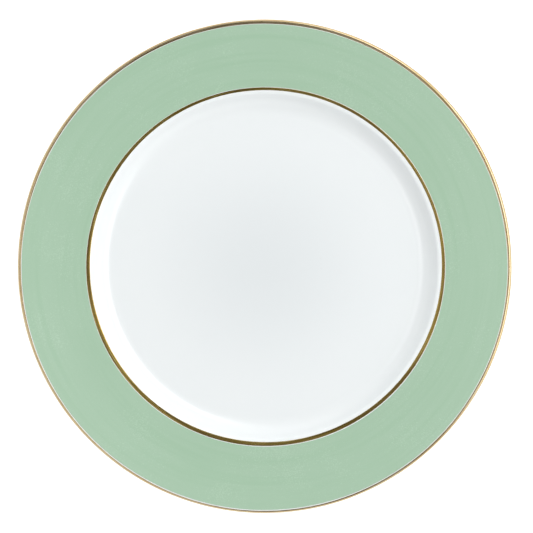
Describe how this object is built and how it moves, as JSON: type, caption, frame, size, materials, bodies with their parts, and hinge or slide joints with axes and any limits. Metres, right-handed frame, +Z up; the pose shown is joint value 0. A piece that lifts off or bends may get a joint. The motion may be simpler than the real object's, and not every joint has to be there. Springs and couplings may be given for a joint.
{
  "type": "dinner plate",
  "caption": "Round china dinner plate with a shallow well, a wide flared rim in green enamel, a gold line round the well and a gilded edge, on a foot ring.",
  "frame": {"origin": "centre of the foot ring, on the surface the plate stands on", "axes": "+Z up along the axis of the plate, out of the well; X and Y are any two directions across it"},
  "size_m": [0.27, 0.27, 0.0216],
  "materials": {
    "china": "unglazed white porcelain, ground smooth on the foot ring",
    "clear_glaze": "clear high gloss glaze over white porcelain",
    "green_enamel": "opaque pale green enamel, satin gloss",
    "gold": "fired bright gold, brush lined",
    "green_print": "printed ceramic colour"
  },
  "bodies": {
    "root": {"china_body": "china", "face_glaze": "clear_glaze", "base_glaze": "clear_glaze", "rim_enamel": "green_enamel", "verge_gold_line": "gold", "edge_gold_line": "gold", "base_mark": "green_print"}
  },
  "joints": []
}
